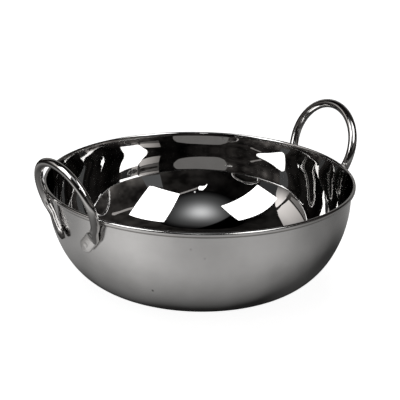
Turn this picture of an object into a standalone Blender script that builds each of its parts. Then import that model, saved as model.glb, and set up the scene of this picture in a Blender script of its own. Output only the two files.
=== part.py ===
"""Round steel pan: a pressed bowl with a rolled rim, and two loop handles of bent rod with flattened, spot-welded feet.

The bowl stands on its flat base at the origin. The handles lie along X, one on each side.
"""
from bisect import bisect_left
from math import acos, cos, pi, radians, sin, sqrt, tan

import bmesh
import bpy
from mathutils import Matrix, Vector

# Bowl
RIM_RADIUS = 0.140             # outside of the rolled rim
BOWL_HEIGHT = 0.098            # underside of the base to the top of the rim
BASE_RADIUS = 0.056            # flat round base
SHEET = 0.0012                 # thickness of the sheet
UPPER_WALL_REACH = 0.036       # how far the wall keeps its upright line below the rim
LOWER_WALL_REACH = 0.066       # how far the base keeps its level line outwards
RIM_BORE_RADIUS = 0.0009       # hollow inside the rolled rim
RIM_SLIT = 0.0004              # between the rolled edge's end and the wall

# Handle loop, measured at the middle of the rod
ROD_RADIUS = 0.004
HANDLE_LEAN = radians(19.5)    # outward lean from upright
LOOP_HALF_WIDTH = 0.0388
LOOP_CREST = 0.0432            # height of the crest above the rim
LOOP_WAIST = 0.0079            # height of the loop's widest place above the rim
RIM_CLEARANCE = 0.0004         # between the rod and the rolled rim

# Legs and feet, which follow the outside of the wall
LEG_DROP = 0.020               # how far a leg keeps its downward line below the widest place
FOOT_DEPTH = 0.0332            # depth of a foot's tip below the rim
FOOT_SPREAD = 0.0154           # from the handle's middle to a foot's tip
FOOT_SLANT = radians(43)       # turn of a foot from upright, towards the handle's middle
FOOT_DRAW = 0.0135             # how far a foot keeps its slanted line above its tip
FOOT_LENGTH = 0.0275           # pressed length, with its neck
FOOT_WIDTH = 0.0132
FOOT_THICKNESS = 0.0036
NECK_LENGTH = 0.005            # where the round rod turns into the flat foot
LEG_EASE = 0.002               # rounding of the bend where a leg meets the wall

# Spot welds between feet and wall
WELD_RADIUS = 0.003
WELD_THICKNESS = 0.0002
WELD_SETBACK = 0.0095          # from a foot's tip
FIT_GAP = 0.0003               # between parts that touch

# Fineness of the mesh
RIM_SEGMENTS = 96
WALL_STEPS = 15
ROLL_STEPS = 6                 # over the top half of the roll, with half as many below
BORE_STEPS = 4
ROD_SIDES = 16
ARCH_STEPS = 12
LEG_STEPS = 11
FOOT_STEPS = 4
NECK_STEPS = 5
TIP_STEPS = 4
WELD_SEGMENTS = 24
TABLE_STEPS = 400              # points in the table of lengths along a leg
HALVINGS = 40                  # bisection steps when a height is looked up on the wall
ROD_SQUARENESS = 2.0           # exponent of the rod's round section
FOOT_SQUARENESS = 3.6          # exponent of the foot's flat section
CREASE_ANGLE = radians(35)

# Finishes: colour and roughness
BOWL_FINISH = ((0.60, 0.59, 0.58, 1.0), 0.18)
HANDLE_FINISH = ((0.66, 0.65, 0.64, 1.0), 0.08)
WELD_FINISH = ((0.35, 0.34, 0.33, 1.0), 0.45)

ROLL_RADIUS = RIM_BORE_RADIUS + SHEET
ROLL_CENTRE_RADIUS = RIM_RADIUS - ROLL_RADIUS
ROLL_CENTRE_HEIGHT = BOWL_HEIGHT - ROLL_RADIUS
WALL_TOP_RADIUS = ROLL_CENTRE_RADIUS - RIM_BORE_RADIUS
FOOT_STANDOFF = WELD_THICKNESS + 2 * FIT_GAP


def clear_scene():
    """Remove whatever the scene holds."""
    for thing in list(bpy.data.objects):
        bpy.data.objects.remove(thing, do_unlink=True)


def steel(name, finish):
    """A bare metal of the given colour and roughness."""
    colour, roughness = finish
    material = bpy.data.materials.new(name)
    material.use_nodes = True
    shader = material.node_tree.nodes["Principled BSDF"]
    shader.inputs["Base Color"].default_value = colour
    shader.inputs["Metallic"].default_value = 1.0
    shader.inputs["Roughness"].default_value = roughness
    return material


def bezier(corners, t):
    """The point at t on a cubic curve, and its direction there."""
    a, b, c, d = corners
    s = 1 - t
    point = a * s ** 3 + b * 3 * t * s ** 2 + c * 3 * t ** 2 * s + d * t ** 3
    direction = (b - a) * s ** 2 + (c - b) * 2 * t * s + (d - c) * t ** 2
    return point, direction.normalized()


def smoothstep(value):
    """Ease from 0 to 1."""
    value = min(max(value, 0.0), 1.0)
    return value * value * (3 - 2 * value)


def later_of(first, second, ease):
    """The larger of two lengths, with the change-over rounded."""
    overlap = max(ease - abs(first - second), 0.0)
    return max(first, second) + overlap ** 2 / (4 * ease)


# The outside of the wall, as radius and height, from the rolled rim down to the flat base
WALL_CORNERS = (
    Vector((WALL_TOP_RADIUS, ROLL_CENTRE_HEIGHT)),
    Vector((WALL_TOP_RADIUS, ROLL_CENTRE_HEIGHT - UPPER_WALL_REACH)),
    Vector((BASE_RADIUS + LOWER_WALL_REACH, 0.0)),
    Vector((BASE_RADIUS, 0.0)),
)


def wall_at(height):
    """Radius of the wall's outside at a height, and its outward normal as radius and height."""
    low, high = 0.0, 1.0
    for _ in range(HALVINGS):
        middle = (low + high) / 2
        if bezier(WALL_CORNERS, middle)[0].y > height:
            low = middle
        else:
            high = middle
    point, direction = bezier(WALL_CORNERS, low)
    return point.x, Vector((-direction.y, direction.x))


def bowl_profile():
    """The sheet's section: up the outside, round the roll's hollow, back over the roll and down the inside."""
    outside = []
    inside = []
    for step in range(WALL_STEPS + 1):
        point, direction = bezier(WALL_CORNERS, step / WALL_STEPS)
        outside.append(point)
        inside.append(point - Vector((-direction.y, direction.x)) * SHEET)
    centre = Vector((ROLL_CENTRE_RADIUS, ROLL_CENTRE_HEIGHT))
    end = -acos((RIM_SLIT - RIM_BORE_RADIUS) / ROLL_RADIUS)

    def arc(radius, steps):
        over = [pi * (1 - step / steps) for step in range(1, steps + 1)]
        under = [end * step / (steps // 2) for step in range(1, steps // 2 + 1)]
        return [centre + Vector((cos(angle), sin(angle))) * radius for angle in over + under]

    hollow = arc(RIM_BORE_RADIUS, BORE_STEPS)
    roll = arc(ROLL_RADIUS, ROLL_STEPS)
    return outside[::-1] + hollow + roll[::-1] + inside


def bowl_mesh():
    """The section turned about the upright axis, with the flat base closed inside and outside."""
    mesh = bmesh.new()
    verts = [mesh.verts.new((radius, 0.0, height)) for radius, height in bowl_profile()]
    edges = [mesh.edges.new(pair) for pair in zip(verts, verts[1:])]
    bmesh.ops.spin(mesh, geom=verts + edges, axis=(0, 0, 1), cent=(0, 0, 0), angle=2 * pi,
                   steps=RIM_SEGMENTS, use_merge=True, use_duplicate=False)
    rims = [edge for edge in mesh.edges if edge.is_boundary]
    bmesh.ops.holes_fill(mesh, edges=rims, sides=0)
    bmesh.ops.recalc_face_normals(mesh, faces=mesh.faces)
    return mesh


# A leg seen from outside, as distance from the handle's middle and height, from its widest place to its tip
LEG_CORNERS = (
    Vector((LOOP_HALF_WIDTH, BOWL_HEIGHT + LOOP_WAIST)),
    Vector((LOOP_HALF_WIDTH, BOWL_HEIGHT + LOOP_WAIST - LEG_DROP)),
    Vector((FOOT_SPREAD + FOOT_DRAW * sin(FOOT_SLANT), BOWL_HEIGHT - FOOT_DEPTH + FOOT_DRAW * cos(FOOT_SLANT))),
    Vector((FOOT_SPREAD, BOWL_HEIGHT - FOOT_DEPTH)),
)


def leg_table():
    """Lengths along the leg, counted from its tip, and the points where they are reached."""
    points = [bezier(LEG_CORNERS, 1 - step / TABLE_STEPS)[0] for step in range(TABLE_STEPS + 1)]
    lengths = [0.0]
    for before, after in zip(points, points[1:]):
        lengths.append(lengths[-1] + (after - before).length)
    return lengths, points


LENGTHS, LEG_POINTS = leg_table()
LEG_LENGTH = LENGTHS[-1]


def leg_point(length):
    """The place on the leg at a length from its tip."""
    length = min(max(length, 0.0), LEG_LENGTH)
    after = min(max(bisect_left(LENGTHS, length), 1), TABLE_STEPS)
    share = (length - LENGTHS[after - 1]) / (LENGTHS[after] - LENGTHS[after - 1])
    return LEG_POINTS[after - 1].lerp(LEG_POINTS[after], share)


def offset_where_rod_passes_rim():
    """Distance of the loop's plane from the bowl's axis, at the height of the rolled rim's middle."""
    beside = min(LEG_POINTS, key=lambda point: abs(point.y - ROLL_CENTRE_HEIGHT)).x
    reach = RIM_RADIUS + (RIM_CLEARANCE + ROD_RADIUS) / cos(HANDLE_LEAN)
    return sqrt(reach ** 2 - beside ** 2)


PLANE_OFFSET = offset_where_rod_passes_rim()
PLANE_NORMAL = Vector((cos(HANDLE_LEAN), 0.0, -sin(HANDLE_LEAN)))


def rod_place(beside, height, half_thickness):
    """The rod's middle: on the leaning plane of the loop, or against the wall where that plane would enter it."""
    plane = PLANE_OFFSET + tan(HANDLE_LEAN) * (height - ROLL_CENTRE_HEIGHT)
    if height > ROLL_CENTRE_HEIGHT - ROLL_RADIUS:
        return Vector((plane, beside, height))
    radius, normal = wall_at(height)
    reach = radius + (FOOT_STANDOFF + half_thickness) / normal.x
    wall = sqrt(reach ** 2 - beside ** 2)
    return Vector((later_of(plane, wall, LEG_EASE), beside, height))


def wall_normal(beside, height):
    """Outward direction of the wall behind a place on the leg."""
    radius, normal = wall_at(min(height, ROLL_CENTRE_HEIGHT))
    across = sqrt(radius ** 2 - beside ** 2)
    return Vector((normal.x * across / radius, normal.x * beside / radius, normal.y)).normalized()


def pressed_share(length):
    """How far the rod is pressed flat at a length from its tip: 1 in the foot, 0 in the round rod."""
    return 1 - smoothstep((length - FOOT_LENGTH + NECK_LENGTH) / NECK_LENGTH)


def leg_section(length):
    """Half width, half thickness and squareness of the rod at a length from its tip."""
    share = pressed_share(length)
    half_width = ROD_RADIUS + (FOOT_WIDTH / 2 - ROD_RADIUS) * share
    half_thickness = ROD_RADIUS + (FOOT_THICKNESS / 2 - ROD_RADIUS) * share
    squareness = ROD_SQUARENESS + (FOOT_SQUARENESS - ROD_SQUARENESS) * share
    tip = FOOT_WIDTH / 2
    if length < tip:
        half_width *= sqrt(1 - (1 - length / tip) ** 2)
    return half_width, half_thickness, squareness


def leg_frame(length):
    """Middle of the rod at a length from its tip, with the directions across it and out of it."""
    step = LEG_LENGTH / TABLE_STEPS
    half_thickness = leg_section(max(length, FOOT_WIDTH))[1]
    here = leg_point(length)
    before = leg_point(length - step)
    after = leg_point(length + step)
    middle = rod_place(here.x, here.y, half_thickness)
    along = rod_place(after.x, after.y, half_thickness) - rod_place(before.x, before.y, half_thickness)
    along.normalize()
    share = smoothstep((length - FOOT_LENGTH) / (LEG_LENGTH - FOOT_LENGTH))
    outward = wall_normal(here.x, here.y).lerp(PLANE_NORMAL, share)
    across = along.cross(outward).normalized()
    return middle, across, across.cross(along)


def section_ring(middle, across, outward, section):
    """Points round the rod's section."""
    half_width, half_thickness, squareness = section
    ring = []
    for side in range(ROD_SIDES):
        angle = 2 * pi * (side + 0.5) / ROD_SIDES
        wide = abs(cos(angle)) ** (2 / squareness) * (1 if cos(angle) > 0 else -1)
        deep = abs(sin(angle)) ** (2 / squareness) * (1 if sin(angle) > 0 else -1)
        ring.append(middle + across * half_width * wide + outward * half_thickness * deep)
    return ring


def leg_lengths():
    """Where the leg's rings lie: close together at the rounded tip and the neck, and further apart between them."""
    tip = FOOT_WIDTH / 2
    neck = FOOT_LENGTH - NECK_LENGTH
    lengths = [tip * (1 - cos(pi / 2 * step / (TIP_STEPS + 1))) for step in range(1, TIP_STEPS + 1)]
    lengths += [tip + (neck - tip) * step / FOOT_STEPS for step in range(FOOT_STEPS)]
    lengths += [neck + NECK_LENGTH * step / NECK_STEPS for step in range(NECK_STEPS)]
    lengths += [FOOT_LENGTH + (LEG_LENGTH - FOOT_LENGTH) * step / LEG_STEPS for step in range(LEG_STEPS)]
    return lengths


def handle_rings():
    """Rings from one foot's tip over the crest to the other."""
    rings = [section_ring(*leg_frame(length), leg_section(length)) for length in leg_lengths()]
    arch_height = LOOP_CREST - LOOP_WAIST
    round_rod = (ROD_RADIUS, ROD_RADIUS, ROD_SQUARENESS)
    for step in range(ARCH_STEPS + 1):
        angle = pi / 2 * step / ARCH_STEPS
        height = BOWL_HEIGHT + LOOP_WAIST + arch_height * sin(angle)
        middle = rod_place(LOOP_HALF_WIDTH * cos(angle), height, ROD_RADIUS)
        rise = arch_height * cos(angle)
        along = Vector((rise * tan(HANDLE_LEAN), -LOOP_HALF_WIDTH * sin(angle), rise)).normalized()
        across = along.cross(PLANE_NORMAL).normalized()
        rings.append(section_ring(middle, across, across.cross(along), round_rod))
    mirrored = [[Vector((point.x, -point.y, point.z)) for point in ring] for ring in rings[-2::-1]]
    return rings + mirrored


def handle_mesh():
    """Skin over the rings, closed at both tips."""
    mesh = bmesh.new()
    rings = [[mesh.verts.new(point) for point in ring] for ring in handle_rings()]
    for ring, following in zip(rings, rings[1:]):
        for side in range(ROD_SIDES):
            beyond = (side + 1) % ROD_SIDES
            mesh.faces.new((ring[side], ring[beyond], following[beyond], following[side]))
    mesh.faces.new(rings[0])
    mesh.faces.new(rings[-1])
    bmesh.ops.recalc_face_normals(mesh, faces=mesh.faces)
    return mesh


def weld_mesh():
    """One flat nugget, its axis along Z."""
    mesh = bmesh.new()
    bmesh.ops.create_cone(mesh, cap_ends=True, segments=WELD_SEGMENTS, radius1=WELD_RADIUS, radius2=WELD_RADIUS,
                          depth=WELD_THICKNESS)
    return mesh


def weld_placement(turn, beside_sign):
    """Where a nugget sits: half way between the foot's back and the wall, square to both."""
    middle, across, outward = leg_frame(WELD_SETBACK)
    centre = middle - outward * (FOOT_THICKNESS + FOOT_STANDOFF) / 2
    centre.y *= beside_sign
    facing = Vector((outward.x, outward.y * beside_sign, outward.z))
    rotation = facing.to_track_quat("Z", "Y").to_matrix().to_4x4()
    return Matrix.Rotation(turn, 4, "Z") @ Matrix.Translation(centre) @ rotation


def finished(mesh, name, material):
    """Turn a working mesh into shared mesh data, shaded smooth up to its creases."""
    data = bpy.data.meshes.new(name)
    mesh.to_mesh(data)
    mesh.free()
    data.materials.append(material)
    data.shade_smooth()
    data.set_sharp_from_angle(angle=CREASE_ANGLE)
    return data


def place(name, data, matrix=Matrix()):
    """Add one named object."""
    thing = bpy.data.objects.new(name, data)
    thing.matrix_world = matrix
    bpy.context.scene.collection.objects.link(thing)
    return thing


def build():
    """Model the whole pan."""
    clear_scene()
    place("bowl", finished(bowl_mesh(), "bowl", steel("bowl_steel", BOWL_FINISH)))
    handle = finished(handle_mesh(), "handle", steel("handle_steel", HANDLE_FINISH))
    weld = finished(weld_mesh(), "weld", steel("weld_metal", WELD_FINISH))
    for side, turn in (("right", 0.0), ("left", pi)):
        place(f"handle_{side}", handle, Matrix.Rotation(turn, 4, "Z"))
        front = -1 if side == "right" else 1
        place(f"weld_{side}_front", weld, weld_placement(turn, front))
        place(f"weld_{side}_back", weld, weld_placement(turn, -front))


build()
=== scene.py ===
"""Looks of the round steel pan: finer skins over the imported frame, their steels, and the studio that they mirror."""
from bisect import bisect_left
from collections import namedtuple
from math import asin, cos, pi, radians, sin, sqrt, tan

import bmesh
import bpy
from mathutils import Matrix, Vector, noise


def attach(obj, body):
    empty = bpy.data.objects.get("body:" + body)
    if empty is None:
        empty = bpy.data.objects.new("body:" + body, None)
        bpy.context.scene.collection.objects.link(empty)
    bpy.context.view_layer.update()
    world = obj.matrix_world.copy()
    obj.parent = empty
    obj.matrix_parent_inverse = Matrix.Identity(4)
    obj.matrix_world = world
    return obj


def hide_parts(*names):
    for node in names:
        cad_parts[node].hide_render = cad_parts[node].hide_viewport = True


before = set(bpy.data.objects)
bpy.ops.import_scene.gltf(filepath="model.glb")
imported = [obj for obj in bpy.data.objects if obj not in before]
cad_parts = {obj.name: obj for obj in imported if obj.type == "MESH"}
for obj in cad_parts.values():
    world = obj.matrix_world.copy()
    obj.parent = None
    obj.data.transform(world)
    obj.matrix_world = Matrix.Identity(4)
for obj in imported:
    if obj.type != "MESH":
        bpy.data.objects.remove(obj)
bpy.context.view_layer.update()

# Bowl, as in the part
RIM_RADIUS = 0.140
BOWL_HEIGHT = 0.098
BASE_RADIUS = 0.056
SHEET = 0.0012
UPPER_WALL_REACH = 0.036
LOWER_WALL_REACH = 0.066
RIM_BORE_RADIUS = 0.0009

# Handles, as in the part
ROD_RADIUS = 0.004
HANDLE_LEAN = radians(19.5)
LOOP_HALF_WIDTH = 0.0388
LOOP_CREST = 0.0432
LOOP_WAIST = 0.0079
RIM_CLEARANCE = 0.0004
LEG_DROP = 0.020
FOOT_DEPTH = 0.0332
FOOT_SPREAD = 0.0154
FOOT_SLANT = radians(43)
FOOT_DRAW = 0.0135
FOOT_LENGTH = 0.0275
FOOT_WIDTH = 0.0132
LEG_EASE = 0.002
FOOT_STANDOFF = 0.0008

# Bowl's finer form: the rim's bead, the band of painted crevice shade below it, and the lip that slopes inward from it
BEAD_OUTSIDE = 0.13966
BEAD_CENTRE = 0.13766
BEAD_HEIGHT = 0.0037
BEAD_TOP = 0.0018
BEAD_CORNER = 0.0006
CREVICE_SHADE_DROP = 0.0021
CREVICE_SHADE_CLEAR = 0.0005
LIP_HEIGHT = 0.0950
LIP_REACH = 0.0008
LIP_CLEAR = 0.0003

# How far the real wall stands out from the part's, and from what height over what height it comes to that
OUTER_STRETCH, OUTER_STRETCH_FROM, OUTER_STRETCH_OVER = 0.00035, 0.045, 0.03
INNER_STRETCH, INNER_STRETCH_OVER = 0.0007, 0.012

# Inward slopes of the real wall against the part's, by height: it draws in to a neck and flares out to the rim
NECK_SLOPES = (
    (0.054, 0.0), (0.060, 0.031), (0.066, 0.026), (0.071, 0.035), (0.075, 0.041), (0.078, 0.045), (0.0805, 0.037),
    (0.083, 0.023), (0.087, -0.0245), (0.091, -0.086), (0.096, -0.148),
)

# Unevenness of the polished inside: sizes and scales of its noises, where it sets in, and how much stays at the back
FINE_STRAY, FINE_SCALE, FINER_SHARE, FINER_SCALE = 0.000022, 75.0, 0.5, 160.0
LONG_STRAY, LONG_SCALE, LONG_SQUASH = 0.000050, 45.0, 0.25
UNEVEN_FROM, UNEVEN_OVER = 0.050, 0.025
CALM_BACK, CALM_EASE, CALM_SHARE = radians(20), radians(35), 0.25
FINER_SHIFT, LONG_SHIFT = Vector((3, 7, 1)), Vector((9, 2, 5))

# Handles' finer form: the rod, and each leg. A leg's lengths count from its tip. It is pressed up to the first, and
# over the last stretch of that it turns round. Flat is its half width, half thickness and squareness where pressed.
SHOWN_ROD = 0.00395
ROD_SQUARENESS = 2.0
Leg = namedtuple("Leg", "pressed turning flat flutes flute_depth flute_start flute_end foot_length")
FRONT_LEG = Leg(
    pressed=0.029, turning=0.009, flat=(0.0066, 0.0024, 3.6),
    flutes=16, flute_depth=0.010, flute_start=0.0185, flute_end=0.036, foot_length=0.0185)
BACK_LEG = Leg(
    pressed=0.036, turning=0.012, flat=(0.0049, 0.0025, 2.2),
    flutes=13, flute_depth=0.050, flute_start=0.006, flute_end=0.034, foot_length=0.0400)
FLUTE_SHARPNESS, FLUTE_FULL = 0.97, 1.33
FLUTE_EASE_IN, FLUTE_EASE_OUT = 0.004, 0.010
TIP_THICKNESS, TIP_THICKENING = 0.7, 0.3
FOOT_INLET, INLET_SCALE = 0.002, 0.93

# Spot-weld dimples, pressed into the outer face of each foot. The edge is where they end, in radii.
DIMPLE_SETBACK = 0.0095
DIMPLE_RADIUS = 0.0021
DIMPLE_DEPTH = 0.0005
DIMPLE_EDGE = 1.4

# Fineness
RIM_SEGMENTS = 384
FLOOR_SHARES = (0.02, 0.2, 0.4, 0.6, 0.8, 0.95)
OUTSIDE_STEPS = 56
INSIDE_STEPS = 120
BEAD_STEPS = 14
CORNER_STEPS = 4
SIDE_STEPS = 4
LIP_STEPS = 10
ROD_SIDES = 96
ARCH_STEPS = 44
LEG_STEPS = 48
FOOT_STEPS = 40
TIP_STEPS = 12
LENGTH_STEPS = 400
HALVINGS = 40
SHARP_EDGE = radians(40)

# Camera
ELEVATION = radians(19.53)
ROLL = radians(1.13)
AZIMUTH = radians(37.36)
DISTANCE = 2.030
SIDE_STEP = 0.00063
DROP = -0.0188
SENSOR = 36.0
LENS = 204.1
CLIP_END = 50.0

FULL_TURN = 2 * pi
ANGLES = [FULL_TURN * k / RIM_SEGMENTS for k in range(RIM_SEGMENTS)]
ROLL_RADIUS = RIM_BORE_RADIUS + SHEET
ROLL_CENTRE = Vector((RIM_RADIUS - ROLL_RADIUS, BOWL_HEIGHT - ROLL_RADIUS))
WALL_TOP_RADIUS = ROLL_CENTRE.x - RIM_BORE_RADIUS
STUDIO_TURN = Matrix.Rotation(-AZIMUTH, 3, "Z")


def bezier(corners, t):
    """The point at t on a cubic curve, and its direction there."""
    a, b, c, d = corners
    s = 1 - t
    point = a * s ** 3 + b * 3 * t * s ** 2 + c * 3 * t ** 2 * s + d * t ** 3
    direction = (b - a) * s ** 2 + (c - b) * 2 * t * s + (d - c) * t ** 2
    return point, direction.normalized()


def smoothstep(value):
    """Ease from 0 to 1."""
    value = min(max(value, 0.0), 1.0)
    return value * value * (3 - 2 * value)


def closed_faces(rings, sides):
    """Faces of a closed skin over rings of points: the quads from ring to ring, then a cap on each end."""
    faces = []
    for low in range(0, (rings - 1) * sides, sides):
        high = low + sides
        for k in range(sides):
            beyond = (k + 1) % sides
            faces.append((low + k, low + beyond, high + beyond, high + k))
    last = (rings - 1) * sides
    return faces + [tuple(range(sides))[::-1], tuple(last + k for k in range(sides))]


def piece(name, mesh, nodes):
    """A shown piece that rides on the pan and stands for CAD nodes."""
    thing = bpy.data.objects.new(name, mesh)
    bpy.context.scene.collection.objects.link(thing)
    work = bmesh.new()
    work.from_mesh(mesh)
    bmesh.ops.recalc_face_normals(work, faces=work.faces)
    work.to_mesh(mesh)
    work.free()
    mesh.shade_smooth()
    mesh.set_sharp_from_angle(angle=SHARP_EDGE)
    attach(thing, "root")
    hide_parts(*nodes)
    return thing


# ---- Bowl

WALL_CORNERS = (
    Vector((WALL_TOP_RADIUS, ROLL_CENTRE.y)),
    Vector((WALL_TOP_RADIUS, ROLL_CENTRE.y - UPPER_WALL_REACH)),
    Vector((BASE_RADIUS + LOWER_WALL_REACH, 0.0)),
    Vector((BASE_RADIUS, 0.0)),
)
# The last finish is dark steel that paints the shade of the crevice under the rim's bead
IN_MIRROR, IN_SATIN, IN_RIM, IN_CREVICE_SHADE = range(4)


def wall_at(height):
    """Radius of the wall's outside at a height, and its outward normal as radius and height."""
    low, high = 0.0, 1.0
    for _ in range(HALVINGS):
        middle = (low + high) / 2
        if bezier(WALL_CORNERS, middle)[0].y > height:
            low = middle
        else:
            high = middle
    point, direction = bezier(WALL_CORNERS, low)
    return point.x, Vector((-direction.y, direction.x))


def unevenness(angle, height):
    """How far the polished inside strays from round at a place: most in the upper wall, none at the floor."""
    turn = abs((angle - radians(90) + AZIMUTH + pi) % FULL_TURN - pi)
    aside = smoothstep((turn - CALM_BACK) / CALM_EASE)
    share = smoothstep((height - UNEVEN_FROM) / UNEVEN_OVER) * (CALM_SHARE + (1 - CALM_SHARE) * aside)
    place = Vector((cos(angle), sin(angle), 0)) * RIM_RADIUS + Vector((0, 0, height))
    fine = noise.noise(place * FINE_SCALE) + FINER_SHARE * noise.noise(place * FINER_SCALE + FINER_SHIFT)
    long = noise.noise(Vector((place.x, place.y, place.z * LONG_SQUASH)) * LONG_SCALE + LONG_SHIFT)
    return share * (FINE_STRAY * fine + LONG_STRAY * long)


def neck(height):
    """How far the wall draws in at a height, summed from its slopes."""
    drawn = 0.0
    for (low, start), (high, end) in zip(NECK_SLOPES, NECK_SLOPES[1:]):
        part = min(max(height - low, 0.0), high - low)
        drawn += part * (start + (end - start) * part / (high - low) / 2)
    return drawn


def inner_radius(point, angle):
    """Radius of the polished inside at a point of the part's inside."""
    stretch = INNER_STRETCH * smoothstep(point.y / INNER_STRETCH_OVER)
    return point.x + stretch - neck(point.y) + unevenness(angle, point.y)


def outer_radius(point):
    """Radius of the outside at a point of the part's outside."""
    stretch = OUTER_STRETCH * smoothstep((point.y - OUTER_STRETCH_FROM) / OUTER_STRETCH_OVER)
    return point.x + stretch - neck(point.y)


def bead():
    """The rim's bead as radii and heights from its lower edge, round a corner, up its side and over its round top."""
    under, shoulder = BOWL_HEIGHT - BEAD_HEIGHT, BOWL_HEIGHT - BEAD_TOP
    places = []
    for step in range(CORNER_STEPS + 1):
        turn = pi / 2 * step / CORNER_STEPS
        places.append((BEAD_OUTSIDE - BEAD_CORNER * (1 - sin(turn)), under + BEAD_CORNER * (1 - cos(turn))))
    for step in range(1, SIDE_STEPS + 1):
        rise = (shoulder - under - BEAD_CORNER) * step / SIDE_STEPS
        places.append((BEAD_OUTSIDE, under + BEAD_CORNER + rise))
    for step in range(1, BEAD_STEPS + 1):
        turn = pi / 2 * step / BEAD_STEPS
        places.append((BEAD_CENTRE + (BEAD_OUTSIDE - BEAD_CENTRE) * cos(turn), shoulder + BEAD_TOP * sin(turn)))
    return places


def bowl():
    """The bowl: outside from the base's middle up, round the bead and the lip, and down the mirror-smooth inside."""
    outside = [bezier(WALL_CORNERS, 1 - step / OUTSIDE_STEPS)[0] for step in range(OUTSIDE_STEPS + 1)]
    inside = []
    for step in range(INSIDE_STEPS + 1):
        point, direction = bezier(WALL_CORNERS, step / INSIDE_STEPS)
        inside.append(point - Vector((-direction.y, direction.x)) * SHEET)
    floor_radii = [BASE_RADIUS * share for share in FLOOR_SHARES]
    under = BOWL_HEIGHT - BEAD_HEIGHT
    crevice_shade_low = under - CREVICE_SHADE_DROP
    rows = []

    def row(finish, places):
        rows.append((finish, [(r * cos(a), r * sin(a), z) for a, (r, z) in zip(ANGLES, places)]))

    for radius in floor_radii:
        row(IN_SATIN, [(radius, 0.0)] * RIM_SEGMENTS)
    for point in outside:
        if point.y < crevice_shade_low - CREVICE_SHADE_CLEAR:
            row(IN_SATIN, [(outer_radius(point), point.y)] * RIM_SEGMENTS)
    # From the band's lower edge up over the bead's underside the steel is dark: painted shade of the crevice under the
    # bead
    for finish, height in ((IN_SATIN, crevice_shade_low), (IN_CREVICE_SHADE, under)):
        row(finish, [(outer_radius(Vector((wall_at(height)[0], height))), height)] * RIM_SEGMENTS)
    for index, place in enumerate(bead()):
        row(IN_RIM if index else IN_CREVICE_SHADE, [place] * RIM_SEGMENTS)

    ends = [inner_radius(Vector((inside[0].x, LIP_HEIGHT)), angle) for angle in ANGLES]
    for step in range(1, LIP_STEPS + 1):
        t = step / LIP_STEPS
        starting, turning, ending = (1 - t) ** 2, 2 * t * (1 - t), t ** 2
        height = BOWL_HEIGHT * (starting + turning) + LIP_HEIGHT * ending
        row(IN_RIM if step < LIP_STEPS / 2 else IN_MIRROR, [
            (BEAD_CENTRE * starting + (BEAD_CENTRE - LIP_REACH) * turning + end * ending, height) for end in ends])
    for point in inside:
        if point.y < LIP_HEIGHT - LIP_CLEAR:
            row(IN_MIRROR, [(inner_radius(point, angle), point.y) for angle in ANGLES])
    for radius in floor_radii[::-1]:
        row(IN_MIRROR, [(radius, SHEET)] * RIM_SEGMENTS)

    mesh = bpy.data.meshes.new("bowl_skin")
    mesh.from_pydata([vert for _, ring in rows for vert in ring], [], closed_faces(len(rows), RIM_SEGMENTS))
    for finish in (INSIDE, OUTSIDE, RIM, CREVICE_SHADE):
        mesh.materials.append(finish)
    finishes = [finish for finish, _ in rows[1:] for _ in range(RIM_SEGMENTS)] + [IN_SATIN, IN_MIRROR]
    mesh.polygons.foreach_set("material_index", finishes)
    return piece("bowl_skin", mesh, ["bowl"])


# ---- Handles

LEG_CORNERS = (
    Vector((LOOP_HALF_WIDTH, BOWL_HEIGHT + LOOP_WAIST)),
    Vector((LOOP_HALF_WIDTH, BOWL_HEIGHT + LOOP_WAIST - LEG_DROP)),
    Vector((FOOT_SPREAD + FOOT_DRAW * sin(FOOT_SLANT), BOWL_HEIGHT - FOOT_DEPTH + FOOT_DRAW * cos(FOOT_SLANT))),
    Vector((FOOT_SPREAD, BOWL_HEIGHT - FOOT_DEPTH)),
)
LEG_POINTS = [bezier(LEG_CORNERS, 1 - step / LENGTH_STEPS)[0] for step in range(LENGTH_STEPS + 1)]
LENGTHS = [0.0]
for before, after in zip(LEG_POINTS, LEG_POINTS[1:]):
    LENGTHS.append(LENGTHS[-1] + (after - before).length)
LEG_LENGTH = LENGTHS[-1]
BESIDE_AT_RIM = min(LEG_POINTS, key=lambda point: abs(point.y - ROLL_CENTRE.y)).x
PLANE_OFFSET = sqrt((RIM_RADIUS + (RIM_CLEARANCE + ROD_RADIUS) / cos(HANDLE_LEAN)) ** 2 - BESIDE_AT_RIM ** 2)
PLANE_NORMAL = Vector((cos(HANDLE_LEAN), 0.0, -sin(HANDLE_LEAN)))
ROUND = (SHOWN_ROD, SHOWN_ROD, ROD_SQUARENESS)


def leg_point(length):
    """The place on the leg at a length from its tip."""
    length = min(max(length, 0.0), LEG_LENGTH)
    after = min(max(bisect_left(LENGTHS, length), 1), LENGTH_STEPS)
    share = (length - LENGTHS[after - 1]) / (LENGTHS[after] - LENGTHS[after - 1])
    return LEG_POINTS[after - 1].lerp(LEG_POINTS[after], share)


def rod_place(beside, height, half_thickness):
    """The rod's middle: on the leaning plane of the loop, or against the wall where that plane would enter it."""
    plane = PLANE_OFFSET + tan(HANDLE_LEAN) * (height - ROLL_CENTRE.y)
    if height > ROLL_CENTRE.y - ROLL_RADIUS:
        return Vector((plane, beside, height))
    radius, normal = wall_at(height)
    reach = radius + (FOOT_STANDOFF + half_thickness) / normal.x
    wall = sqrt(reach ** 2 - beside ** 2)
    overlap = max(LEG_EASE - abs(plane - wall), 0.0)
    return Vector((max(plane, wall) + overlap ** 2 / (4 * LEG_EASE), beside, height))


def wall_normal(beside, height):
    """Outward direction of the wall behind a place on the leg."""
    radius, normal = wall_at(min(height, ROLL_CENTRE.y))
    across = sqrt(radius ** 2 - beside ** 2)
    return Vector((normal.x * across / radius, normal.x * beside / radius, normal.y)).normalized()


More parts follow.
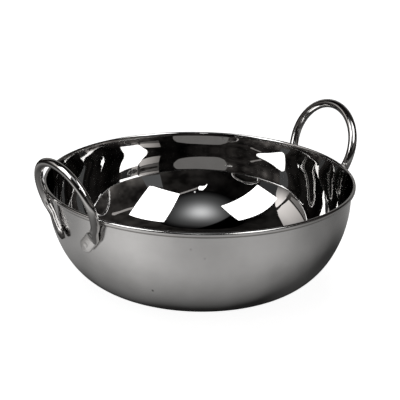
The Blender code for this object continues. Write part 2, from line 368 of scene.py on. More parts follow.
def leg_section(leg, length):
    """Half width, half thickness and squareness of the rod at a length from its tip."""
    share = 1 - smoothstep((length - leg.pressed + leg.turning) / leg.turning)
    half_width, half_thickness, squareness = (
        round_one + (flat_one - round_one) * share for round_one, flat_one in zip(ROUND, leg.flat))
    tip = FOOT_WIDTH / 2
    if length < tip:
        half_width *= sqrt(1 - (1 - length / tip) ** 2)
        half_thickness *= TIP_THICKNESS + TIP_THICKENING * length / tip
    return half_width, half_thickness, squareness


def leg_frame(leg, length):
    """Middle of the rod at a length from its tip, with the directions across it and out of it."""
    step = LEG_LENGTH / LENGTH_STEPS
    half_thickness = leg_section(leg, max(length, FOOT_WIDTH))[1]
    before, here, after = (leg_point(place) for place in (length - step, length, length + step))
    middle = rod_place(here.x, here.y, half_thickness)
    along = rod_place(after.x, after.y, half_thickness) - rod_place(before.x, before.y, half_thickness)
    along.normalize()
    share = smoothstep((length - FOOT_LENGTH) / (LEG_LENGTH - FOOT_LENGTH))
    outward = wall_normal(here.x, here.y).lerp(PLANE_NORMAL, share)
    across = along.cross(outward).normalized()
    return middle, across, across.cross(along)


def section_ring(middle, across, outward, section, flutes=1, flute=0.0, length=None, scale=1.0):
    """Points round the rod's section, fluted by drawing, and dented where a spot weld was pressed."""
    half_width, half_thickness, squareness = section
    ring = []
    for side in range(ROD_SIDES):
        angle = FULL_TURN * (side + 0.5) / ROD_SIDES
        wide = abs(cos(angle)) ** (2 / squareness) * (1 if cos(angle) > 0 else -1)
        deep = abs(sin(angle)) ** (2 / squareness) * (1 if sin(angle) > 0 else -1)
        swell = scale * (1 + flute * asin(FLUTE_SHARPNESS * cos(flutes * angle)) / FLUTE_FULL)
        lift = half_thickness * deep * swell
        if length is not None and deep > 0:
            away = sqrt((length - DIMPLE_SETBACK) ** 2 + (half_width * wide) ** 2) / DIMPLE_RADIUS
            lift -= DIMPLE_DEPTH * smoothstep(DIMPLE_EDGE - away)
        ring.append(middle + across * half_width * wide * swell + outward * lift)
    return ring


def leg_ring(leg, length, scale=1.0):
    """The ring at a length from the foot's tip."""
    setting_in = smoothstep((length - leg.flute_start) / FLUTE_EASE_IN)
    flute = leg.flute_depth * (setting_in * (1 - smoothstep((length - leg.flute_end) / FLUTE_EASE_OUT)))
    return section_ring(*leg_frame(leg, length), leg_section(leg, length), leg.flutes, flute, length, scale)


def mirrored(rings):
    """The same rings on the other leg's side."""
    return [[Vector((point.x, -point.y, point.z)) for point in ring] for ring in rings]


def rod_rings():
    """Rings from one foot over the crest to the other."""
    sides = []
    for leg in (FRONT_LEG, BACK_LEG):
        rest = LEG_LENGTH - leg.foot_length
        sides.append([leg_ring(leg, leg.foot_length + rest * step / LEG_STEPS) for step in range(LEG_STEPS)])
    rings, far = sides
    arch_height = LOOP_CREST - LOOP_WAIST
    for step in range(ARCH_STEPS + 1):
        angle = pi / 2 * step / ARCH_STEPS
        height = BOWL_HEIGHT + LOOP_WAIST + arch_height * sin(angle)
        middle = rod_place(LOOP_HALF_WIDTH * cos(angle), height, ROD_RADIUS)
        rise = arch_height * cos(angle)
        along = Vector((rise * tan(HANDLE_LEAN), -LOOP_HALF_WIDTH * sin(angle), rise)).normalized()
        across = along.cross(PLANE_NORMAL).normalized()
        ring = section_ring(middle, across, across.cross(along), ROUND)
        rings.append(ring)
        far.append(ring)
    return rings + mirrored(far[-2::-1])


def foot_rings(leg):
    """Rings from the foot's tip to inside the end of the rod."""
    tip = FOOT_WIDTH / 2
    lengths = [tip * (1 - cos(pi / 2 * step / (TIP_STEPS + 1))) for step in range(1, TIP_STEPS + 1)]
    lengths += [tip + (leg.foot_length - tip) * step / FOOT_STEPS for step in range(FOOT_STEPS + 1)]
    inlet = [leg_ring(leg, length, INLET_SCALE) for length in (leg.foot_length, leg.foot_length + FOOT_INLET)]
    return [leg_ring(leg, length) for length in lengths] + inlet


def skin(name, rings, sign, finish, nodes):
    """A closed skin over rings of points. Its "lay" is each point's turn round the rod and its length along it."""
    mesh = bpy.data.meshes.new(name)
    verts = [(sign * point.x, sign * point.y, point.z) for ring in rings for point in ring]
    mesh.from_pydata(verts, [], closed_faces(len(rings), ROD_SIDES))
    lay = mesh.attributes.new("lay", "FLOAT_VECTOR", "POINT")
    run, middles = 0.0, [sum(ring, Vector()) / ROD_SIDES for ring in rings]
    for row in range(len(rings)):
        run += (middles[row] - middles[max(row - 1, 0)]).length
        for k in range(ROD_SIDES):
            turn = FULL_TURN * (k + 0.5) / ROD_SIDES
            lay.data[row * ROD_SIDES + k].vector = (cos(turn), sin(turn), run)
    mesh.materials.append(finish)
    return piece(name, mesh, nodes)


def handle(side, sign):
    """One handle: its bent rod and its two pressed feet."""
    nodes = [f"handle_{side}"]
    near, far = foot_rings(FRONT_LEG), mirrored(foot_rings(BACK_LEG))
    return (
        skin(f"handle_{side}_rod", rod_rings(), sign, ROD, nodes),
        skin(f"handle_{side}_foot_a", near, sign, FOOT, nodes),
        skin(f"handle_{side}_foot_b", far, sign, BACK_FOOT, nodes),
    )


# ---- Steels

class Nodes:
    """A few shorthands for one material's node tree."""

    CLOUD_DETAIL, CLOUD_ROUGHNESS, CLOUD_SPAN = 5.0, 0.6, (0.3, 0.7)

    def __init__(self, name):
        self.material = bpy.data.materials.new(name)
        self.material.use_nodes = True
        self.tree = self.material.node_tree
        self.shader = self.tree.nodes["Principled BSDF"]

    def add(self, kind, **settings):
        node = self.tree.nodes.new(kind)
        for key, value in settings.items():
            setattr(node, key, value)
        return node

    def link(self, start, end):
        self.tree.links.new(start, end)

    def math(self, operation, first, second=0.0):
        node = self.add("ShaderNodeMath", operation=operation)
        for socket, value in zip(node.inputs, (first, second)):
            if isinstance(value, (int, float)):
                socket.default_value = value
            else:
                self.link(value, socket)
        return node.outputs[0]

    def root_of_squares(self, first, second):
        squares = (self.math("MULTIPLY", value, value) for value in (first, second))
        return self.math("SQRT", self.math("ADD", *squares))

    def parts(self, vector):
        """X, Y and Z of a vector."""
        node = self.add("ShaderNodeSeparateXYZ")
        self.link(vector, node.inputs[0])
        return node.outputs

    def place_on_piece(self):
        """The place shaded, in the coordinates of the piece or of the studio surface."""
        return self.add("ShaderNodeTexCoord").outputs["Object"]

    def lay(self):
        """What skin() stored on a handle's points."""
        return self.add("ShaderNodeAttribute", attribute_name="lay").outputs["Vector"]

    def round_the_axis(self, turns, across):
        """Coordinates that run slowly round the bowl's axis and quickly across it: the lay of turned steel."""
        x, y, z = self.parts(self.place_on_piece())
        radius = self.root_of_squares(x, y)
        angle = self.math("ARCTAN2", y, x)
        joined = self.add("ShaderNodeCombineXYZ")
        for value, scale, socket in zip((angle, radius, z), (turns, across, across), joined.inputs):
            self.link(self.math("MULTIPLY", value, scale), socket)
        return joined.outputs[0]

    def noise(self, scale, detail=4.0, vector=None, roughness=0.5):
        node = self.add("ShaderNodeTexNoise")
        for name, number in (("Scale", scale), ("Detail", detail), ("Roughness", roughness)):
            node.inputs[name].default_value = number
        self.link(self.place_on_piece() if vector is None else vector, node.inputs["Vector"])
        return node.outputs["Fac"]

    def cloud(self, scale):
        return self.noise(scale, self.CLOUD_DETAIL, roughness=self.CLOUD_ROUGHNESS)

    def ramp(self, value, low, high, start=0.0, end=1.0):
        """A value's way from start to end, as a number from low to high."""
        node = self.add("ShaderNodeMapRange")
        for name, number in (("From Min", start), ("From Max", end), ("To Min", low), ("To Max", high)):
            node.inputs[name].default_value = number
        self.link(value, node.inputs["Value"])
        return node.outputs["Result"]

    def curve(self, value, points):
        node = self.add("ShaderNodeFloatCurve")
        spots = node.mapping.curves[0].points
        for place in points[1:-1]:
            spots.new(*place)
        spots[0].location, spots[len(spots) - 1].location = points[0], points[-1]
        node.mapping.update()
        self.link(value, node.inputs["Value"])
        return node.outputs[0]

    def blend(self, factor, first, second):
        """One colour going over into another as a factor goes from 0 to 1."""
        node = self.add("ShaderNodeMix", data_type="RGBA")
        self.link(factor, node.inputs[0])
        for socket, colour in zip((node.inputs[6], node.inputs[7]), (first, second)):
            if isinstance(colour, tuple):
                socket.default_value = (*colour, 1.0)
            else:
                self.link(colour, socket)
        return node.outputs[2]

    def mix(self, first, second, share):
        """A sum of two values: a share of the first and the rest of the second."""
        return self.math("ADD", self.math("MULTIPLY", first, share), self.math("MULTIPLY", second, 1 - share))

    def stray(self, value, cloud, reach):
        """A value shifted by clouds, by up to half their reach either way."""
        return self.math("ADD", value, self.math("MULTIPLY", self.math("SUBTRACT", cloud, 0.5), reach))

    def spots(self, places, core=0.35):
        """How strongly each place is marked: soft-edged round spots at points, with radii and strengths."""
        here = self.place_on_piece()
        total = 0.0
        for place, radius, strength in places:
            away = self.add("ShaderNodeVectorMath", operation="DISTANCE")
            self.link(here, away.inputs[0])
            away.inputs[1].default_value = place
            total = self.math("ADD", self.ramp(away.outputs["Value"], strength, 0.0, radius * core, radius), total)
        return total

    def metal(self, colour, roughness, relief, strength, depth):
        """Bare metal with a colour, a roughness and a relief."""
        bump = self.add("ShaderNodeBump")
        bump.inputs["Strength"].default_value = strength
        bump.inputs["Distance"].default_value = depth
        self.link(relief, bump.inputs["Height"])
        for name, value in (("Base Color", colour), ("Roughness", roughness), ("Normal", bump.outputs["Normal"])):
            self.link(value, self.shader.inputs[name])
        self.shader.inputs["Metallic"].default_value = 1.0
        return self.material


def steel(name, dark, light, gloss, lay, relief, cloud_scale=22.0, marks=(), polished=()):
    """Bare steel: cloudy colour and gloss, fine lines along the way it was worked, marks, and better polished places.

    Gloss is the least and the most roughness, and lay how quickly the lines change round the axis and across it."""
    nodes = Nodes(name)
    cloud = nodes.ramp(nodes.cloud(cloud_scale), 0.0, 1.0, *nodes.CLOUD_SPAN)
    lines = nodes.noise(scale=1.0, detail=3.0, vector=nodes.round_the_axis(*lay), roughness=0.7)
    colour = nodes.blend(cloud, dark, light)
    if marks:
        colour = nodes.blend(nodes.spots(marks), colour, MARK_COLOUR)
    roughness = nodes.ramp(nodes.mix(cloud, lines, CLOUD_SHARE), *gloss)
    if polished:
        roughness = nodes.math("MULTIPLY", roughness, nodes.math("SUBTRACT", 1.0, nodes.spots(polished)))
    return nodes.metal(colour, roughness, lines, relief, LINE_DEPTH)


def rod_steel(dark=(0.57, 0.56, 0.55), light=(0.66, 0.65, 0.64), gloss=(0.03, 0.16), relief=(0.35, 0.00006)):
    """Polished steel rod with the fine lines of drawing along it."""
    nodes = Nodes("steel_rod")
    stretch = nodes.add("ShaderNodeVectorMath", operation="MULTIPLY")
    nodes.link(nodes.lay(), stretch.inputs[0])
    stretch.inputs[1].default_value = ROD_LINES
    lines = nodes.noise(scale=1.0, detail=4.0, vector=stretch.outputs["Vector"], roughness=0.65)
    cloud = nodes.ramp(nodes.cloud(90.0), 0.0, 1.0, *nodes.CLOUD_SPAN)
    roughness = nodes.ramp(nodes.mix(cloud, lines, share=0.5), *gloss)
    return nodes.metal(nodes.blend(cloud, dark, light), roughness, lines, *relief)


def foot_steel(dark=(0.42, 0.41, 0.40), light=(0.70, 0.69, 0.68), gloss=(0.14, 0.30), relief=(0.25, 0.0001)):
    """Pressed and ground steel, with painted light: lighter in colour on the foot's outer side than towards the middle
    of the handle.
    """
    nodes = Nodes("steel_foot_painted_light")
    across = nodes.parts(nodes.lay())[0]
    cloud = nodes.cloud(260.0)
    # Painted light: the colour is lighter on the foot's outer side
    aside = nodes.ramp(nodes.stray(across, cloud, reach=0.5), 0.0, 1.0, start=-0.2, end=0.2)
    roughness = nodes.ramp(cloud, *gloss, *nodes.CLOUD_SPAN)
    return nodes.metal(nodes.blend(aside, dark, light), roughness, cloud, *relief)


def back_foot_steel(painted_shade=(0.13, 0.125, 0.12), bright=(0.64, 0.63, 0.62), gloss=(0.30, 0.07), relief=(0.20, 0.00006)):
    """Polished ridged steel, darker and duller at the foot's end where it was welded; the darker colour there is
    painted shade of the gap between foot and wall.
    """
    nodes = Nodes("steel_back_foot_painted_shade")
    run = nodes.parts(nodes.lay())[2]
    cloud = nodes.cloud(300.0)
    # Painted shade: darker colour over the foot's end, where it meets the wall
    beyond_painted_shade = nodes.ramp(nodes.stray(run, cloud, reach=0.004), 0.0, 1.0, start=0.004, end=0.008)
    return nodes.metal(nodes.blend(beyond_painted_shade, painted_shade, bright), nodes.ramp(beyond_painted_shade, *gloss), cloud, *relief)


LINE_DEPTH = 0.00002
CLOUD_SHARE = 0.55
ROD_LINES = (5.0, 5.0, 30.0)

# Marks on the outside, with their radii and strengths: a pit, two nicks and smudges. Then its better polished place.
MARK_COLOUR = (0.10, 0.095, 0.09)
MARKS = (
    ((-0.1013, -0.0693, 0.0362), 0.0015, 0.80), ((-0.1009, -0.0690, 0.0350), 0.0012, 0.60),
    ((-0.0873, -0.1040, 0.0818), 0.0016, 0.22), ((-0.0773, -0.1106, 0.0734), 0.0014, 0.20),
    ((-0.0154, -0.1296, 0.0535), 0.011, 0.07), ((-0.0006, -0.1255, 0.0415), 0.010, 0.06),
    ((-0.0415, -0.1275, 0.0677), 0.014, 0.04), ((-0.1215, -0.0353, 0.0436), 0.016, 0.06),
    ((-0.1120, -0.0519, 0.0377), 0.013, 0.07),
)
POLISHED = (((-0.1215, 0.0290, 0.0790), 0.030, 0.80),)

INSIDE = steel("steel_mirror", (0.64, 0.635, 0.63), (0.69, 0.685, 0.68), (0.008, 0.035), (3.0, 900.0), 0.01)
OUTSIDE = steel(
    "steel_satin", (0.515, 0.51, 0.505), (0.595, 0.59, 0.585), (0.16, 0.28), (2.0, 800.0), 0.18,
    marks=MARKS, polished=POLISHED)
RIM = steel("steel_rim", (0.46, 0.455, 0.45), (0.54, 0.53, 0.52), (0.08, 0.20), (4.0, 1200.0), 0.05)
# Dark steel that paints the shade in the crevice under the rim's bead
CREVICE_SHADE = steel("steel_painted_crevice_shade", (0.20, 0.195, 0.19), (0.30, 0.29, 0.28), (0.25, 0.45), (6.0, 900.0), 0.20)
ROD = rod_steel()
FOOT = foot_steel()
BACK_FOOT = back_foot_steel()
WELD = steel("steel_weld", (0.22, 0.20, 0.19), (0.40, 0.38, 0.36), (0.30, 0.55), (90.0, 700.0), 0.30, cloud_scale=400.0)

BOWL = bowl()
RIGHT_ROD, RIGHT_FOOT_A, RIGHT_FOOT_B = handle("right", 1)
LEFT_ROD, LEFT_FOOT_A, LEFT_FOOT_B = handle("left", -1)
for name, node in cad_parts.items():
    if name.startswith("weld_"):
        for slot in node.material_slots:
            slot.material = WELD


# ---- Studio, laid out as the camera sees it: X to its right, Y away from it

WHITE = (1, 1, 1)
COOL = (0.95, 0.98, 1)
PAPER = (1, 0.99, 0.98)
SWEEP_PAPER = (1, 0.98, 0.96)
WARM = (1.0, 0.955, 0.925)
DISH_BLUE = (0.97, 0.985, 1.0)
ROOM_BROWN = (1.0, 0.93, 0.88)
UNSEEN = {"camera": False, "diffuse": False, "shadow": False}


def seen_from_camera(point):
    """A studio point turned into the part's frame."""
    return STUDIO_TURN @ Vector(point)


def backdrop(name, verts, faces, material, **shown):
    """A studio surface, with its visibility to each kind of ray that is named set as given."""
    mesh = bpy.data.meshes.new(name)
    mesh.from_pydata([seen_from_camera(vert) for vert in verts], [], faces)
    mesh.materials.append(material)
    thing = bpy.data.objects.new(name, mesh)
    for ray, seen in shown.items():
        setattr(thing, f"visible_{ray}", seen)
    bpy.context.scene.collection.objects.link(thing)
    return thing


def panel(name, corners, material, **shown):
    """A studio surface of one face."""
    return backdrop(name, corners, [tuple(range(len(corners)))], material, **shown)


def square(half, height):
    """Corners of a level square round the pan."""
    return [(-half, -half, height), (half, -half, height), (half, half, height), (-half, half, height)]


def lights_only(glow, things):
    """Let a glowing surface show only in the named pieces."""
    group = bpy.data.collections.new(glow.name + "_shows_in")
    for thing in things:
        group.objects.link(thing)
    glow.light_linking.receiver_collection = group
    for entry in group.collection_objects:
        entry.light_linking.link_state = "INCLUDE"


class Glow(Nodes):
    """An emitting surface whose strength comes from the place on it, in studio coordinates."""

    def __init__(self, name, colour):
        super().__init__(name)
        self.tree.nodes.remove(self.shader)
        self.emission = self.add("ShaderNodeEmission")
        self.emission.inputs["Color"].default_value = (*colour, 1.0)
        self.link(self.emission.outputs[0], self.tree.nodes["Material Output"].inputs["Surface"])
        turn = self.add("ShaderNodeVectorRotate", rotation_type="Z_AXIS")
        turn.inputs["Angle"].default_value = AZIMUTH
        self.link(self.place_on_piece(), turn.inputs["Vector"])
        self.place = turn.outputs[0]
        self.x, self.y, self.z = self.parts(self.place)

    def steady(self, strength):
        self.emission.inputs["Strength"].default_value = strength
        return self.material

    def varied(self, strength):
        self.link(strength, self.emission.inputs["Strength"])
        return self.material

    def turn_share(self):
        """The share of a turn from straight behind the pan, clockwise from above."""
        turn = self.math("DIVIDE", self.math("ARCTAN2", self.x, self.y), FULL_TURN)
        return self.math("FRACT", self.math("ADD", turn, 1.0))

    def through(self):
        """Let what lies behind show through the glow."""
        both = self.add("ShaderNodeAddShader")
        self.link(self.emission.outputs[0], both.inputs[0])
        self.link(self.add("ShaderNodeBsdfTransparent").outputs[0], both.inputs[1])
        self.link(both.outputs[0], self.tree.nodes["Material Output"].inputs["Surface"])


# Light panels that show in the steel but not to the camera: their colours, strengths and corners. The last three are
# one lamp: its head, its knob and its arm.
SWEEP_AWAY = 1.6
BACK_SWEEP = (
    (-1.42, 0.25), (-1.40, 0.50), (-1.34, 0.72), (-1.24, 0.89), (-1.07, 1.04), (-0.68, 1.19), (-0.26, 1.22),
    (0.33, 1.28), (0.67, 1.36), (0.90, 1.39), (1.04, 1.37), (1.20, 1.21), (1.30, 1.05), (1.38, 0.80), (1.43, 0.50),
    (1.44, 0.25),
)
PANELS = (
    ("softbox_right", WHITE, 3.2, (
        (1.457, -1.551, 0.923), (0.284, -0.797, 0.723), (0.397, -0.084, 1.204), (5.113, -0.921, 4.954),
    )),
    ("softbox_left", WHITE, 3.2, (
        (-1.452, -1.221, 0.668), (-0.569, -0.132, 0.321), (-0.247, -0.051, 0.648), (-0.230, -0.441, 0.745),
    )),
    ("back_sweep", SWEEP_PAPER, 0.27, [(across, SWEEP_AWAY, up) for across, up in BACK_SWEEP]),
    ("room_right", COOL, 0.12, (
        (0.960, -0.812, 0.310), (0.842, -0.928, 0.312), (0.691, -1.043, 0.309), (0.659, -1.001, 0.513),
        (0.626, -0.950, 0.658), (0.737, -0.893, 0.620), (0.835, -0.835, 0.570), (0.869, -0.796, 0.579),
    )),
    ("room_left", COOL, 0.045, (
        (-1.180, -0.453, 0.326), (-1.150, -0.423, 0.482), (-1.140, -0.379, 0.554), (-1.070, -0.568, 0.509),
        (-0.980, -0.736, 0.449), (-0.998, -0.758, 0.337),
    )),
    ("reflector_edge", WARM, 0.45, (
        (1.109, 0.083, 0.768), (1.064, -0.071, 0.830), (1.018, -0.215, 0.859), (0.953, -0.337, 0.891),
        (0.940, -0.299, 0.925), (1.000, -0.172, 0.896), (1.045, -0.030, 0.862), (1.068, 0.093, 0.833),
        (1.089, 0.122, 0.797),
    )),
    ("lamp_head", WHITE, 3.0, (
        (0.010, -1.156, 0.823), (0.024, -1.191, 0.762), (0.002, -1.211, 0.725), (-0.046, -1.209, 0.728),
        (-0.103, -1.209, 0.720), (-0.150, -1.232, 0.662), (-0.122, -1.195, 0.744), (-0.094, -1.177, 0.782),
        (-0.056, -1.153, 0.826),
    )),
    ("lamp_knob", WHITE, 1.2, (
        (0.107, -1.119, 0.873), (0.088, -1.137, 0.849), (0.069, -1.122, 0.874), (0.087, -1.103, 0.898),
    )),
    ("lamp_arm", WARM, 0.40, (
        (0.366, -1.054, 0.888), (0.198, -1.137, 0.826), (0.030, -1.198, 0.750), (0.029, -1.176, 0.789),
        (0.197, -1.115, 0.861), (0.358, -1.030, 0.923),
    )),
)

# The dish behind and above the camera: its centre, radius, widths, and the strength and fall of its core and its veil
DISH_CENTRE = Vector((-0.042, -0.845, 1.78))
DISH_RADIUS = 1.15
DISH_EDGE = 0.85
DISH_WIDTHS = (0.30, 0.36)
DISH_GLOWS = ((0.68, -1.0), (0.18, -0.22))
DISH_SEGMENTS = 48
# Seen from above, the dish ends along a line of this slope, softly between these distances beyond it
DISH_CUT_SLOPE, DISH_CUT_FROM, DISH_CUT_TO = 1.127, 0.08, 0.14


def glow_dish():
    """A large dim reflector behind and above the camera, brightest in its middle."""
    outward = DISH_CENTRE.normalized()
    across = Vector((0, 0, 1)).cross(outward).normalized()
    above = outward.cross(across)
    nodes = Glow("glow_dish", DISH_BLUE)
    shift = nodes.add("ShaderNodeVectorMath", operation="SUBTRACT")
    nodes.link(nodes.place, shift.inputs[0])
    shift.inputs[1].default_value = DISH_CENTRE
    squares = []
    for way, width in zip((across, above), DISH_WIDTHS):
        part = nodes.add("ShaderNodeVectorMath", operation="DOT_PRODUCT")
        nodes.link(shift.outputs["Vector"], part.inputs[0])
        part.inputs[1].default_value = way / width
        squares.append(nodes.math("MULTIPLY", part.outputs["Value"], part.outputs["Value"]))
    far = nodes.math("ADD", *squares)
    core, veil = (
        nodes.math("MULTIPLY", strength, nodes.math("EXPONENT", nodes.math("MULTIPLY", far, fall)))
        for strength, fall in DISH_GLOWS)
    length = nodes.add("ShaderNodeVectorMath", operation="LENGTH")
    nodes.link(shift.outputs["Vector"], length.inputs[0])
    edge = nodes.ramp(length.outputs["Value"], 1.0, 0.0, DISH_EDGE, DISH_RADIUS)
    behind = nodes.math("SUBTRACT", nodes.y, nodes.math("MULTIPLY", nodes.x, DISH_CUT_SLOPE))
    edge = nodes.math("MULTIPLY", edge, nodes.ramp(behind, 1.0, 0.0, DISH_CUT_FROM, DISH_CUT_TO))
    material = nodes.varied(nodes.math("MULTIPLY", nodes.math("ADD", core, veil), edge))
    turns = [FULL_TURN * k / DISH_SEGMENTS for k in range(DISH_SEGMENTS)]
    rim = [DISH_CENTRE + (across * cos(turn) + above * sin(turn)) * DISH_RADIUS for turn in turns]
    panel("glow_dish", rim, material, **UNSEEN)


# Dim light of the room low round the pan, by the share of a turn from straight behind. Then its strength and three
# ramps: how it fades upward, the light that is always there from left to right, and the clouds.
ROOM_LIGHT = (
    (0.0, 0.02), (0.11, 0.30), (0.20, 0.22), (0.28, 0.80), (0.36, 0.45), (0.42, 0.08), (0.50, 0.02), (0.60, 0.05),
    (0.66, 0.45), (0.71, 0.55), (0.78, 0.35), (0.84, 0.04), (1.0, 0.02),
)
ROOM_STRENGTH = 0.17
ROOM_FADE = (1.0, 0.08, 0.95, 3.2)
ROOM_ALWAYS = (0.004, 0.022, -2.7, 4.0)
ROOM_CLOUDS = (0.3, 1.7, 0.36, 0.66)
DOME_RADIUS, DOME_RINGS, DOME_SPOKES = 8.0, 8, 24


def room():
    """The unlit room: a dome of dim clouds, a little lighter low down at both sides and on the right."""
    nodes = Glow("room", ROOM_BROWN)
    side = nodes.curve(nodes.turn_share(), ROOM_LIGHT)
    low = nodes.math("MULTIPLY", nodes.math("MULTIPLY", side, ROOM_STRENGTH), nodes.ramp(nodes.z, *ROOM_FADE))
    cloud = nodes.ramp(nodes.noise(scale=0.5, detail=2.5, roughness=0.55), *ROOM_CLOUDS)
    always = nodes.ramp(nodes.x, *ROOM_ALWAYS)
    verts = [(0, 0, DOME_RADIUS)]
    for ring in range(1, DOME_RINGS + 1):
        fall = pi / 2 * ring / DOME_RINGS
        for spoke in range(DOME_SPOKES):
            turn = FULL_TURN * spoke / DOME_SPOKES
            away = DOME_RADIUS * sin(fall)
            verts.append((away * sin(turn), away * cos(turn), DOME_RADIUS * cos(fall)))
    faces = [(0, 1 + k, 1 + (k + 1) % DOME_SPOKES) for k in range(DOME_SPOKES)]
    for ring in range(DOME_RINGS - 1):
        high, below = 1 + ring * DOME_SPOKES, 1 + (ring + 1) * DOME_SPOKES
        for k in range(DOME_SPOKES):
            beyond = (k + 1) % DOME_SPOKES
            faces.append((high + k, high + beyond, below + beyond, below + k))
    strength = nodes.math("MULTIPLY", nodes.math("ADD", low, always), cloud)
    backdrop("room", verts, faces, nodes.varied(strength), **UNSEEN)


# The wall on the left: its leaves as places away and up, and ramps: how bright each leaf is as it runs away or up,
# where the first one ends, and where the second lies above the third, whose upper edge slopes
WALL_ACROSS = -1.4
LEAVES = (
    (
        (-0.62, 0.38), (-0.215, 0.38), (-0.235, 0.55), (-0.265, 0.72), (-0.30, 0.92), (-0.36, 0.90), (-0.45, 0.76),
        (-0.62, 0.62),
    ),
    (
        (-0.155, 0.53), (0.10, 0.575), (0.35, 0.625), (0.65, 0.70), (0.63, 0.90), (0.56, 1.37), (0.10, 1.18),
        (-0.06, 1.11), (-0.225, 0.99), (-0.225, 0.77),
    ),
    (
        (-0.14, 0.44), (0.20, 0.43), (0.45, 0.43), (0.67, 0.43), (0.65, 0.67), (0.35, 0.595), (0.10, 0.545),
        (-0.12, 0.50),
    ),
)
FIRST_LEAF_UP, FIRST_LEAF_AWAY = (0.28, 1.25, 0.40, 0.70), (0.75, 1.0, -0.50, -0.38)
SECOND_LEAF_AWAY, SECOND_LEAF_UP = (1.02, 0.36, -0.20, 0.60), (1.0, 0.75, 0.95, 1.35)
THIRD_LEAF_AWAY = (0.28, 0.12, -0.15, 0.60)
PAST_FIRST = (0.0, 1.0, -0.255, -0.25)
ABOVE_THIRD, THIRD_SLOPE = (0.0, 1.0, 0.555, 0.575), 0.18


def side_wall():
    """The pale wall on the left: leaves with dark joints between them, brightest beside the softbox."""
    nodes = Glow("side_wall", WARM)

    def either(first, second, share):
        first = nodes.math("MULTIPLY", first, nodes.math("SUBTRACT", 1.0, share))
        return nodes.math("ADD", first, nodes.math("MULTIPLY", second, share))

    first = nodes.math("MULTIPLY", nodes.ramp(nodes.z, *FIRST_LEAF_UP), nodes.ramp(nodes.y, *FIRST_LEAF_AWAY))
    second = nodes.math("MULTIPLY", nodes.ramp(nodes.y, *SECOND_LEAF_AWAY), nodes.ramp(nodes.z, *SECOND_LEAF_UP))
    third = nodes.ramp(nodes.y, *THIRD_LEAF_AWAY)
    above = nodes.math("SUBTRACT", nodes.z, nodes.math("MULTIPLY", nodes.y, THIRD_SLOPE))
    beyond = either(third, second, nodes.ramp(above, *ABOVE_THIRD))
    material = nodes.varied(either(first, beyond, nodes.ramp(nodes.y, *PAST_FIRST)))
    verts, faces = [], []
    for leaf in LEAVES:
        faces.append(tuple(range(len(verts), len(verts) + len(leaf))))
        verts += [(WALL_ACROSS, away, up) for away, up in leaf]
    backdrop("side_wall", verts, faces, material, **UNSEEN)


# How bright the table is round the pan, and where its shade ends: degrees from straight behind, light, inner and outer
# metres. Then how it fades far away, and what light its shade keeps at the least on the left and on the right.
TABLE_HALF = 1.2
TABLE_LIGHT = (
    (0, 0.42, 0.10, 0.22), (30, 0.44, 0.108, 0.23), (55, 0.28, 0.14, 0.28), (78, 0.24, 0.163, 0.35),
    (92, 0.253, 0.157, 0.29), (107, 0.29, 0.141, 0.228), (122, 0.454, 0.122, 0.248), (143, 0.594, 0.1045, 0.23),
    (161, 0.54, 0.0945, 0.197), (180, 0.545, 0.093, 0.19), (196, 0.645, 0.093, 0.20), (214, 0.92, 0.0896, 0.256),
    (232, 0.90, 0.089, 0.31), (243, 0.78, 0.092, 0.30), (252, 0.60, 0.098, 0.27), (262, 0.45, 0.100, 0.22),
    (272, 0.38, 0.097, 0.20), (300, 0.34, 0.095, 0.19), (330, 0.38, 0.097, 0.20),
)
TABLE_FADE = (1.0, 0.14, 0.50, 0.75)
TABLE_LEAST = (0.03, 0.18, 0.06, 0.12)


def table():
    """The grey table that the steel mirrors, shaded where the pan stands."""
    nodes = Glow("table", PAPER)
    curve = nodes.add("ShaderNodeValToRGB")
    curve.color_ramp.interpolation = "CARDINAL"
    stops = curve.color_ramp.elements
    points = TABLE_LIGHT + ((360, *TABLE_LIGHT[0][1:]),)
    while len(stops) < len(points):
        stops.new(0.5)
    for stop, (degrees_round, light, inner, outer) in zip(stops, points):
        stop.position = degrees_round / 360
        stop.color = (light, inner, outer, 1)
    nodes.link(nodes.turn_share(), curve.inputs["Fac"])
    parts = nodes.add("ShaderNodeSeparateColor")
    nodes.link(curve.outputs["Color"], parts.inputs[0])
    light, inner, outer = parts.outputs
    radius = nodes.root_of_squares(nodes.x, nodes.y)
    near = nodes.math("DIVIDE", nodes.math("SUBTRACT", radius, inner), nodes.math("SUBTRACT", outer, inner))
    short = nodes.math("SUBTRACT", 1.0, nodes.math("MINIMUM", nodes.math("MAXIMUM", near, 0.0), 1.0))
    shade = nodes.math("SUBTRACT", 1.0, nodes.math("MULTIPLY", short, short))
    shade = nodes.root_of_squares(shade, nodes.ramp(nodes.x, *TABLE_LEAST))
    fade = nodes.ramp(radius, *TABLE_FADE)
    strength = nodes.math("MULTIPLY", nodes.math("MULTIPLY", light, shade), fade)
    nodes.through()
    shown = panel("table", square(TABLE_HALF, 0), nodes.varied(strength), **UNSEEN)
    lights_only(shown, [BOWL, RIGHT_FOOT_A, LEFT_FOOT_A])


# Light of the table in the rods: against metres from the bowl's axis, and by the share of a turn from straight behind
ROD_TABLE_LIGHT = (
    (0.0, 0.10), (0.14, 0.13), (0.20, 0.16), (0.25, 0.28), (0.30, 0.43), (0.37, 0.70), (0.45, 0.58), (0.60, 0.15),
    (1.0, 0.03),
)
ROD_TABLE_SIDE = (
    (0.0, 0.33), (0.19, 0.33), (0.278, 0.30), (0.367, 0.50), (0.464, 0.72), (0.556, 0.90), (0.628, 1.0), (0.683, 1.0),
    (0.70, 0.93), (0.733, 0.55), (0.758, 0.45), (0.806, 0.40), (1.0, 0.33),
)
ROD_TABLE_HEIGHT = -0.002


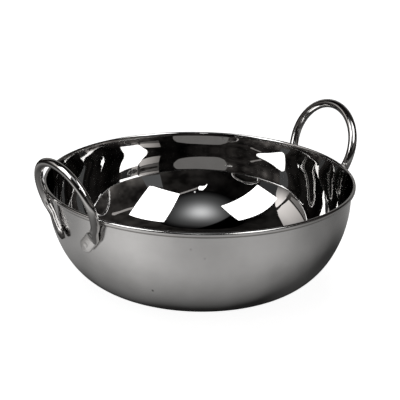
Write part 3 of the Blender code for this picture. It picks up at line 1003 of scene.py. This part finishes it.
def rod_table():
    """The same table as the rods and back feet mirror it: dark near the pan, palest beyond it at the front left."""
    nodes = Glow("rod_table", PAPER)
    side = nodes.curve(nodes.turn_share(), ROD_TABLE_SIDE)
    radius = nodes.root_of_squares(nodes.x, nodes.y)
    material = nodes.varied(nodes.math("MULTIPLY", side, nodes.curve(radius, ROD_TABLE_LIGHT)))
    shown = panel("rod_table", square(TABLE_HALF, ROD_TABLE_HEIGHT), material, **UNSEEN)
    lights_only(shown, [RIGHT_ROD, LEFT_ROD, LEFT_FOOT_B, RIGHT_FOOT_B])


RIDGE_SCREEN_STRENGTH = 1.5
RIDGE_SCREEN = (
    (-1.10, -1.30, 0.25), (-1.70, -0.20, 0.25), (-1.20, 0.10, 1.60), (-0.30, -0.20, 2.10), (0.60, -0.60, 2.00),
    (0.90, -1.30, 1.00), (0.30, -1.60, 0.35),
)


def ridge_screen():
    """A pale screen to the left of the pan and above it, that only the back feet's ridges catch."""
    nodes = Glow("ridge_screen", PAPER)
    nodes.through()
    shown = panel("ridge_screen", RIDGE_SCREEN, nodes.steady(RIDGE_SCREEN_STRENGTH), **UNSEEN)
    lights_only(shown, [LEFT_FOOT_B, RIGHT_FOOT_B])


FLOOR_HALF = 6.0
FLOOR_PAPER = ((0.80, 0.80, 0.80), (0.84, 0.84, 0.84))
FLOOR_SHADER = (
    ("Roughness", 0.9), ("Specular IOR Level", 0.1), ("Emission Color", (1, 1, 1, 1)), ("Emission Strength", 0.95),
)


def floor():
    """A pale studio floor, lit enough to stay near white under the pan."""
    nodes = Nodes("floor_paper")
    cloud = nodes.noise(scale=1.5, detail=3.0)
    nodes.link(nodes.blend(cloud, *FLOOR_PAPER), nodes.shader.inputs["Base Color"])
    for name, value in FLOOR_SHADER:
        nodes.shader.inputs[name].default_value = value
    panel("floor", square(FLOOR_HALF, 0), nodes.material, glossy=False)


def lamp(name, place, target, size, power):
    """A soft lamp that lights the floor and doesn't show in the steel."""
    data = bpy.data.lights.new(name, "AREA")
    data.shape = "DISK"
    data.size = size
    data.energy = power
    thing = bpy.data.objects.new(name, data)
    start, end = seen_from_camera(place), seen_from_camera(target)
    turn = (start - end).to_track_quat("Z", "Y").to_matrix().to_4x4()
    thing.matrix_world = Matrix.Translation(start) @ turn
    thing.visible_glossy = False
    bpy.context.scene.collection.objects.link(thing)


def camera():
    """The photograph's camera."""
    back = Vector((0, -cos(ELEVATION), sin(ELEVATION)))
    right = Vector((1, 0, 0))
    up = Vector((0, sin(ELEVATION), cos(ELEVATION)))
    place = seen_from_camera(back * DISTANCE + right * SIDE_STEP + up * DROP) + Vector((0, 0, BOWL_HEIGHT))
    rows = (
        seen_from_camera(right * cos(ROLL) + up * sin(ROLL)),
        seen_from_camera(-right * sin(ROLL) + up * cos(ROLL)),
        seen_from_camera(back),
    )
    matrix = Matrix(rows).transposed().to_4x4()
    matrix.translation = place
    data = bpy.data.cameras.new("camera")
    data.sensor_width = SENSOR
    data.lens = LENS
    data.clip_end = CLIP_END
    thing = bpy.data.objects.new("camera", data)
    thing.matrix_world = matrix
    bpy.context.scene.collection.objects.link(thing)
    bpy.context.scene.camera = thing


for name, colour, strength, corners in PANELS:
    panel(name, corners, Glow(name, colour).steady(strength), **UNSEEN)
glow_dish()
room()
side_wall()
table()
rod_table()
ridge_screen()
floor()
lamp("overhead", (-0.3, 0.4, 2.6), (0, 0.3, 0), size=2.4, power=25.0)

WORLD_COLOUR = (0.005, 0.005, 0.005, 1.0)
world = bpy.data.worlds.new("studio")
world.use_nodes = True
world.node_tree.nodes["Background"].inputs["Color"].default_value = WORLD_COLOUR
bpy.context.scene.world = world
bpy.context.scene.view_settings.view_transform = "Standard"
camera()
